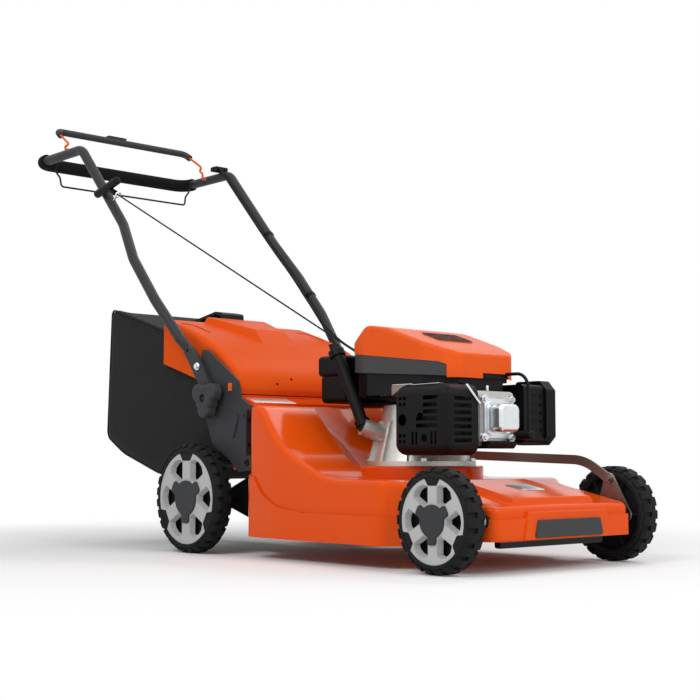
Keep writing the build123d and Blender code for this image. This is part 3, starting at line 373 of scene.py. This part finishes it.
# a flat sheet with rounded corners, cut to spots in mm
def cutOutline(name, spots, cornerMm):
    bpy.ops.object.select_all(action="DESELECT")
    bpy.ops.mesh.primitive_circle_add(vertices=len(spots), fill_type="NGON")
    sheet = bpy.context.object
    sheet.name = name
    for vertex, spot in zip(sheet.data.vertices, spots):
        vertex.co = framePoint(*spot)
    editAll()
    bpy.ops.mesh.bevel(offset=cornerMm / 1000, segments=edgeSpec["cornerSteps"], affect="VERTICES")
    leaveEdit()
    return sheet


# the active sheet drawn out to a closed solid that faces outwards
def drawOut(push):
    bpy.ops.mesh.extrude_region_move(TRANSFORM_OT_translate={"value": metres(push)})
    bpy.ops.mesh.select_all(action="SELECT")
    bpy.ops.mesh.normals_make_consistent(inside=False)


# a small plate: cut, opened to a rim where it has one, drawn out, and its edges broken
def makePlate(name, outline, push, cornerMm, edgeMm, rimMm=0):
    plate = cutOutline(name, outline, cornerMm)
    pickOnly(plate)
    editAll()
    if rimMm:
        bpy.ops.mesh.inset(thickness=rimMm / 1000)
        bpy.ops.mesh.delete(type="FACE")
        bpy.ops.mesh.select_all(action="SELECT")
    drawOut(push)
    leaveEdit()
    edge = plate.modifiers.new("brokenEdges", "BEVEL")
    edge.width = edgeMm / 1000
    edge.segments = edgeSpec["breakSteps"]
    edge.angle_limit = math.radians(edgeSpec["breakDegrees"])
    bpy.ops.object.modifier_apply(modifier=edge.name)
    bpy.ops.object.shade_smooth_by_angle(angle=math.radians(edgeSpec["sharpDegrees"]))
    return plate


# order of the line, steps round a quarter of the cord, and the angle from which an edge stays sharp
cordSpec = {"order": 3, "roundSteps": 3, "sharpDegrees": 50}


# one smooth NURBS line with the route's points as its control points, turned into a round mesh
def layCord(name, route, radiusMm, finish, steps):
    line = bpy.data.curves.new(name, "CURVE")
    line.dimensions = "3D"
    spline = line.splines.new("NURBS")
    spline.points.add(len(route) - 1)
    for point, spot in zip(spline.points, route):
        point.co = (*framePoint(*spot), 1.0)
    spline.order_u = cordSpec["order"]
    spline.use_endpoint_u = True
    spline.resolution_u = steps
    line.bevel_depth = radiusMm / 1000
    line.bevel_resolution = cordSpec["roundSteps"]
    line.use_fill_caps = True
    cord = bpy.data.objects.new(name, line)
    bpy.context.collection.objects.link(cord)
    pickOnly(cord)
    bpy.ops.object.convert(target="MESH")
    cord = bpy.context.object
    bpy.ops.object.shade_smooth_by_angle(angle=math.radians(cordSpec["sharpDegrees"]))
    coat(cord, finish)
    return cord


def dress(piece, finish, slotName, body, *stoodFor):
    coat(piece, finish)
    if stoodFor:
        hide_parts(*stoodFor)
    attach(piece, body)


# control cables run down the left tube, then into the deck and the engine
cableSpec = {
    "radiusMm": 2.6,
    "steps": 10,
    "drive": [
        (-571.4, 226, 1057), (-540, 227, 1022), (-340, 227, 802), (-262, 249, 706), (-190, 249.5, 622),
        (-60, 228, 500), (60, 228, 430), (150, 226, 396), (194, 196, 378), (203, 172, 332)],
    "brake": [
        (-571.4, 219, 1057), (-540, 220, 1022), (-340, 220, 807), (-262, 242, 711), (-190, 242.5, 628),
        (-60, 228, 520), (80, 229, 462), (230, 210, 424), (330, 150, 400), (386, 128, 392)],
    "stays": (90, 228, 440),
    "swings": (-150, 240, 590),
}
for use in ("drive", "brake"):
    cable = layCord(use + "Cable", cableSpec[use], cableSpec["radiusMm"], blackPvc, cableSpec["steps"])
    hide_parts("control_cables")
    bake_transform(cable)

# starter rope, tight from the engine to its guide, and the tail that the grip pulls out
ropeSpec = {
    "radiusMm": 1.9, "steps": 24, "engine": (358, -80, 449), "guide": (-348, -260, 883), "tailMm": 20}
ropeStart = Vector(ropeSpec["engine"])
ropeGuide = Vector(ropeSpec["guide"])
ropeTail = ropeGuide + (ropeGuide - ropeStart).normalized() * ropeSpec["tailMm"]
ropeRun = [ropeStart, (ropeStart + ropeGuide) / 2, ropeGuide]
tailRun = [ropeGuide, (ropeGuide + ropeTail) / 2, ropeTail]
rope = layCord("starterRope", ropeRun, ropeSpec["radiusMm"], braid, ropeSpec["steps"])
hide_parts("starter_rope")
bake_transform(rope)
tail = layCord("ropeTail", tailRun, ropeSpec["radiusMm"], braid, ropeSpec["steps"])
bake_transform(tail)
print("cables and rope laid")

# grass bag: a sewn shell that hangs from its edges and sags between them
bagSpec = {
    "outline": [
        (92, 204), (92, 350), (52, 403), (-20, 448), (-190, 522), (-458, 603), (-473, 272), (-394, 229),
        (-232, 179), (-150, 171), (-70, 206)],
    "cornerMm": 16, "halfWidth": 203.0, "fattenMm": 5.5, "voxelMm": 9.0, "relaxShare": 0.5, "relaxTimes": 2,
    "mouthX": 84.0, "seamMm": 13.0, "frames": 22, "sagLimitMm": 5.0, "wallMm": 1.6, "fineLevels": 1}
clothSpec = {
    "quality": 6, "mass": 0.25, "tension_stiffness": 14, "compression_stiffness": 14, "shear_stiffness": 6,
    "bending_stiffness": 3.0}
mouthPlane = framePoint(bagSpec["mouthX"], 0, 0)[0]


# a side panel with rounded corners, flat at that distance from the middle
def cutSidePanel(name, y):
    return cutOutline(name, [(x, y, z) for x, z in bagSpec["outline"]], bagSpec["cornerMm"])


def makeBagSolid():
    bag = cutSidePanel("grassBag", -bagSpec["halfWidth"])
    editAll()
    drawOut((0, 2 * bagSpec["halfWidth"], 0))
    bpy.ops.transform.shrink_fatten(value=bagSpec["fattenMm"] / 1000)
    leaveEdit()
    remesh = bag.modifiers.new("evenGrid", "REMESH")
    remesh.mode = "VOXEL"
    remesh.voxel_size = bagSpec["voxelMm"] / 1000
    bpy.ops.object.modifier_apply(modifier=remesh.name)
    relax = bag.modifiers.new("relax", "SMOOTH")
    relax.factor = bagSpec["relaxShare"]
    relax.iterations = bagSpec["relaxTimes"]
    bpy.ops.object.modifier_apply(modifier=relax.name)
    return bag


# how far a spot is from the side panel's outline, seen from the side
def gapToOutline(spot):
    corners = [Vector(framePoint(x, 0, z)) for x, z in bagSpec["outline"]]
    flat = Vector((spot.x, 0, spot.z))
    gaps = []
    for a, b in zip(corners, corners[1:] + corners[:1]):
        share = max(0.0, min(1.0, (flat - a).dot(b - a) / (b - a).length_squared))
        gaps.append((a + (b - a) * share - flat).length)
    return min(gaps)


def isSewn(spot):
    seam = bagSpec["seamMm"] / 1000
    nearSide = abs(spot.y) > bagSpec["halfWidth"] / 1000 - seam
    nearMouth = spot.x > mouthPlane - seam
    return nearMouth or (nearSide and gapToOutline(spot) < seam)


def sagBag(bag):
    held = bag.vertex_groups.new(name="sewnEdges")
    held.add([v.index for v in bag.data.vertices if isSewn(v.co)], 1.0, "REPLACE")
    rest = [v.co.copy() for v in bag.data.vertices]
    cloth = bag.modifiers.new("cloth", "CLOTH")
    cloth.settings.vertex_group_mass = held.name
    for key, value in clothSpec.items():
        setattr(cloth.settings, key, value)
    for step in range(1, bagSpec["frames"] + 1):
        bpy.context.scene.frame_set(step)
    bpy.ops.object.modifier_apply(modifier=cloth.name)
    bpy.context.scene.frame_set(1)
    limit = bagSpec["sagLimitMm"] / 1000
    for vertex, before in zip(bag.data.vertices, rest):
        moved = vertex.co - before
        if moved.length > limit:
            vertex.co = before + moved * (limit / moved.length)


# the front cut open, and a wall given to the cloth
def openMouth(bag):
    bpy.ops.object.mode_set(mode="EDIT")
    bpy.ops.mesh.select_all(action="DESELECT")
    leaveEdit()
    for face in bag.data.polygons:
        face.select = face.center.x > mouthPlane
    bpy.ops.object.mode_set(mode="EDIT")
    bpy.ops.mesh.delete(type="FACE")
    leaveEdit()
    wall = bag.modifiers.new("wall", "SOLIDIFY")
    wall.thickness = bagSpec["wallMm"] / 1000
    wall.offset = -1.0    # the wall grows inwards
    bpy.ops.object.modifier_apply(modifier=wall.name)
    fine = bag.modifiers.new("fine", "SUBSURF")
    fine.levels = bagSpec["fineLevels"]
    fine.render_levels = bagSpec["fineLevels"]
    bpy.ops.object.modifier_apply(modifier=fine.name)
    bpy.ops.object.shade_smooth()


bag = makeBagSolid()
sagBag(bag)
openMouth(bag)
dress(bag, bagCloth, "black_fabric", "bag", "bag_fabric")

# piping round both side panels
pipingSpec = {"radiusMm": 2.4, "roundSteps": 2}
panelAt = {"pipingRight": -bagSpec["halfWidth"], "pipingLeft": bagSpec["halfWidth"]}
for name, y in panelAt.items():
    cutSidePanel(name, y)
    editAll()
    bpy.ops.mesh.delete(type="ONLY_FACE")
    leaveEdit()
    bpy.ops.object.convert(target="CURVE")
    piping = bpy.context.object
    piping.data.bevel_depth = pipingSpec["radiusMm"] / 1000
    piping.data.bevel_resolution = pipingSpec["roundSteps"]
    bpy.ops.object.convert(target="MESH")
    piping = bpy.context.object
    bpy.ops.object.shade_smooth()
    dress(piping, blackPvc, "black_fabric", "bag")
print("bag sewn")

# sloping sill between the hood and the deck's box
sillSpec = {
    "outline": [(118.5, -221, 338.2), (176, -221, 338.2), (122, -221, 354), (118.5, -221, 354)],
    "push": (0, 361, 0), "cornerMm": 0.6, "edgeMm": 0.5}
dress(makePlate("hoodSill", **sillSpec), deckPaint, "orange_steel", "chassis")

# bare foil plates on the sill and on the nose
foilSpec = {"push": (0, 0, 0.8), "cornerMm": 6, "edgeMm": 0.25}
foilOutlines = {
    "deckPlate": [(125, -214, 353.2), (167, -214, 340.9), (167, -92, 340.9), (125, -92, 353.2)],
    "nosePlate": [(740, -26, 162.9), (740, 44, 162.9), (790, 44, 152.7), (790, -26, 152.7)],
}
for name, outline in foilOutlines.items():
    dress(makePlate(name, outline, **foilSpec), zincPlate, "steel", "chassis")

# black insert in the top of the cowl: a rim with a row of louvres
grilleSpec = {
    "outline": [(528, -50, 483.6), (582, -50, 465.0), (582, 58, 465.0), (528, 58, 483.6)],
    "push": (0.4, 0, 1.2), "cornerMm": 8, "edgeMm": 0.4, "rimMm": 4}
louvreSpec = {
    "outline": [(537, -45, 480.5), (541, -45, 479.1), (541, 53, 479.1), (537, 53, 480.5)],
    "push": (0.4, 0, 1.2), "cornerMm": 0.5, "edgeMm": 0.4}
louvreRow = {"count": 4, "pitch": (10.5, 0, -3.61)}
grille = makePlate("cowlGrille", **grilleSpec)
louvre = makePlate("louvre", **louvreSpec)
louvres = [louvre]
for step in range(1, louvreRow["count"]):
    copied = louvre.copy()
    copied.data = louvre.data.copy()
    bpy.context.collection.objects.link(copied)
    pickOnly(copied)
    editAll()
    bpy.ops.transform.translate(value=metres([mm * step for mm in louvreRow["pitch"]]))
    leaveEdit()
    louvres.append(copied)
pickOnly(grille)
for louvre in louvres:
    louvre.select_set(True)
bpy.ops.object.join()
dress(bpy.context.object, blackAbs, "black_plastic", "chassis")

# black frame in the notch of the cowl's front, with its slot
notchSpec = {
    "outline": [(669, -14, 381.5), (669, 68, 381.5), (669, 62, 391.5), (669, -8, 391.5)],
    "push": (2.6, 0, 0), "cornerMm": 1.5, "edgeMm": 0.4, "rimMm": 2.6}
dress(makePlate("notchFrame", **notchSpec), blackAbs, "black_plastic", "chassis")

# strips between the guard and the band, a bent stay and a stud beside the head
stripSpec = {"cornerMm": 2.0, "edgeMm": 0.4}
strips = {
    "guardStrip": {
        "outline": [(512, -121, 369), (572, -121, 369), (572, -101, 369), (512, -101, 369)],
        "push": (0, 0, 1.4)},
    "guardGusset": {
        "outline": [(510, -119, 369), (556, -119, 369), (530, -119, 357), (510, -119, 347)],
        "push": (0, 1.6, 0)},
    "guardTab": {
        "outline": [(566, -118, 367.2), (640, -112, 368.8), (640, -92, 368.8), (566, -98, 367.2)],
        "push": (0, 0, 1.4)},
    "bentStay": {
        "outline": [(708, -104, 364), (708, -98, 366), (708, -58, 327), (708, -63, 325)],
        "push": (1.4, 0, 0)},
    "headStud": {
        "outline": [(687, -23, 354), (693, -23, 354), (693, -17, 354), (687, -17, 354)],
        "push": (0, 0, 11)},
}
for name, form in strips.items():
    strip = makePlate(name, **form, **stripSpec)
    dress(strip, rolledStrip if name == "guardGusset" else zincPlate, "steel", "chassis")

# rubber boot of the breather under the valve cover
bootSpec = {
    "outline": [
        (662, -38, 251), (712, -38, 251), (714, -38, 247), (704, -38, 236), (668, -38, 236),
        (660, -38, 246)],
    "push": (0, 84, 0), "cornerMm": 3, "edgeMm": 3}
dress(makePlate("breatherBoot", **bootSpec), blackPvc, "rubber", "chassis")
print("small pieces set")

# camera fitted to the photograph
cameraSpec = {
    "at": (2.505, -2.0588, 0.2193), "turnDegrees": (94.5623, 0.0, 48.2091),
    "lensMm": 68.82, "sensorMm": 36.0}
cameraTurn = [math.radians(degrees) for degrees in cameraSpec["turnDegrees"]]
bpy.ops.object.camera_add(location=cameraSpec["at"], rotation=cameraTurn)
camera = bpy.context.object
camera.data.lens = cameraSpec["lensMm"]
camera.data.sensor_width = cameraSpec["sensorMm"]
bpy.context.scene.camera = camera


def addSoftbox(name, at, aim, size, watts):
    bpy.ops.object.light_add(type="AREA", location=at)
    lamp = bpy.context.object
    lamp.name = name
    lamp.data.shape = "RECTANGLE"
    lamp.data.size = size[0]
    lamp.data.size_y = size[1]
    lamp.data.energy = watts
    lamp.rotation_euler = (Vector(aim) - Vector(at)).to_track_quat("-Z", "Y").to_euler()


# soft boxes round the object
softboxes = {
    "farLeft": {"at": (0.0, 2.25, 3.2), "aim": (0.1, 0.0, 0.3), "size": (1.9, 0.7), "watts": 25},
    "overhead": {"at": (-0.3, -0.4, 3.2), "aim": (0.0, 0.0, 0.3), "size": (2.4, 2.4), "watts": 13},
    "cameraSide": {"at": (1.2, -3.0, 2.7), "aim": (0.2, 0.0, 0.4), "size": (1.8, 1.2), "watts": 56},
    "front": {"at": (3.4, 0.2, 2.2), "aim": (0.2, 0.0, 0.4), "size": (1.4, 1.4), "watts": 44},
}
for name, box in softboxes.items():
    addSoftbox(name, **box)


# 1 for a ray from the camera or off a glossy or clear surface, else 0
def whereSeen(tree):
    path = addNode(tree, "ShaderNodeLightPath")
    seen = addNode(tree, "ShaderNodeMath", {"operation": "MAXIMUM"},
                   {0: path.outputs["Is Camera Ray"], 1: path.outputs["Is Glossy Ray"]})
    seenToo = addNode(tree, "ShaderNodeMath", {"operation": "MAXIMUM"},
                      {0: seen.outputs[0], 1: path.outputs["Is Transmission Ray"]})
    return seenToo.outputs[0]


# white studio: full white where it is seen, dimmer where it only lights
studioSpec = {"litBy": 0.35, "seen": 1.0}
world = bpy.data.worlds.new("studio")
world.use_nodes = True
bpy.context.scene.world = world
sky = world.node_tree
level = addNode(sky, "ShaderNodeMapRange", {"To Min": studioSpec["litBy"], "To Max": studioSpec["seen"]},
                {"Value": whereSeen(sky)})
backdrop = sky.nodes["Background"]
backdrop.inputs["Color"].default_value = white
sky.links.new(level.outputs["Result"], backdrop.inputs["Strength"])

# pale floor that keeps the shadow and fades to white away from the object, all in metres
floorSpec = {"size": 60.0, "fadeStart": 0.6, "fadeEnd": 1.7}
bpy.ops.mesh.primitive_plane_add(size=floorSpec["size"], location=(0.0, 0.0, 0.0))
floor = bpy.context.object
floor.name = "floor"
floorPaint, floorTree, floorShader, floorPlace = startMaterial("paleFloor", "F6F6F6", rough=0.9)
reach = addNode(floorTree, "ShaderNodeVectorMath", {"operation": "LENGTH"}, {0: floorPlace})
fadeRange = {"interpolation_type": "SMOOTHSTEP", "From Min": floorSpec["fadeStart"],
             "From Max": floorSpec["fadeEnd"]}
fade = addNode(floorTree, "ShaderNodeMapRange", fadeRange, {"Value": reach.outputs["Value"]})
share = addNode(floorTree, "ShaderNodeMath", {"operation": "MULTIPLY"},
                {0: whereSeen(floorTree), 1: fade.outputs["Result"]})
glow = addNode(floorTree, "ShaderNodeEmission", {"Color": white, "Strength": 1.0})
blend = addNode(floorTree, "ShaderNodeMixShader", None,
                {0: share.outputs[0], 1: floorShader.outputs["BSDF"], 2: glow.outputs["Emission"]})
floorTree.links.new(blend.outputs["Shader"], floorTree.nodes["Material Output"].inputs["Surface"])
floor.data.materials.append(floorPaint)
print("camera, lights and floor set")

view = bpy.context.scene.view_settings
view.view_transform = "Standard"
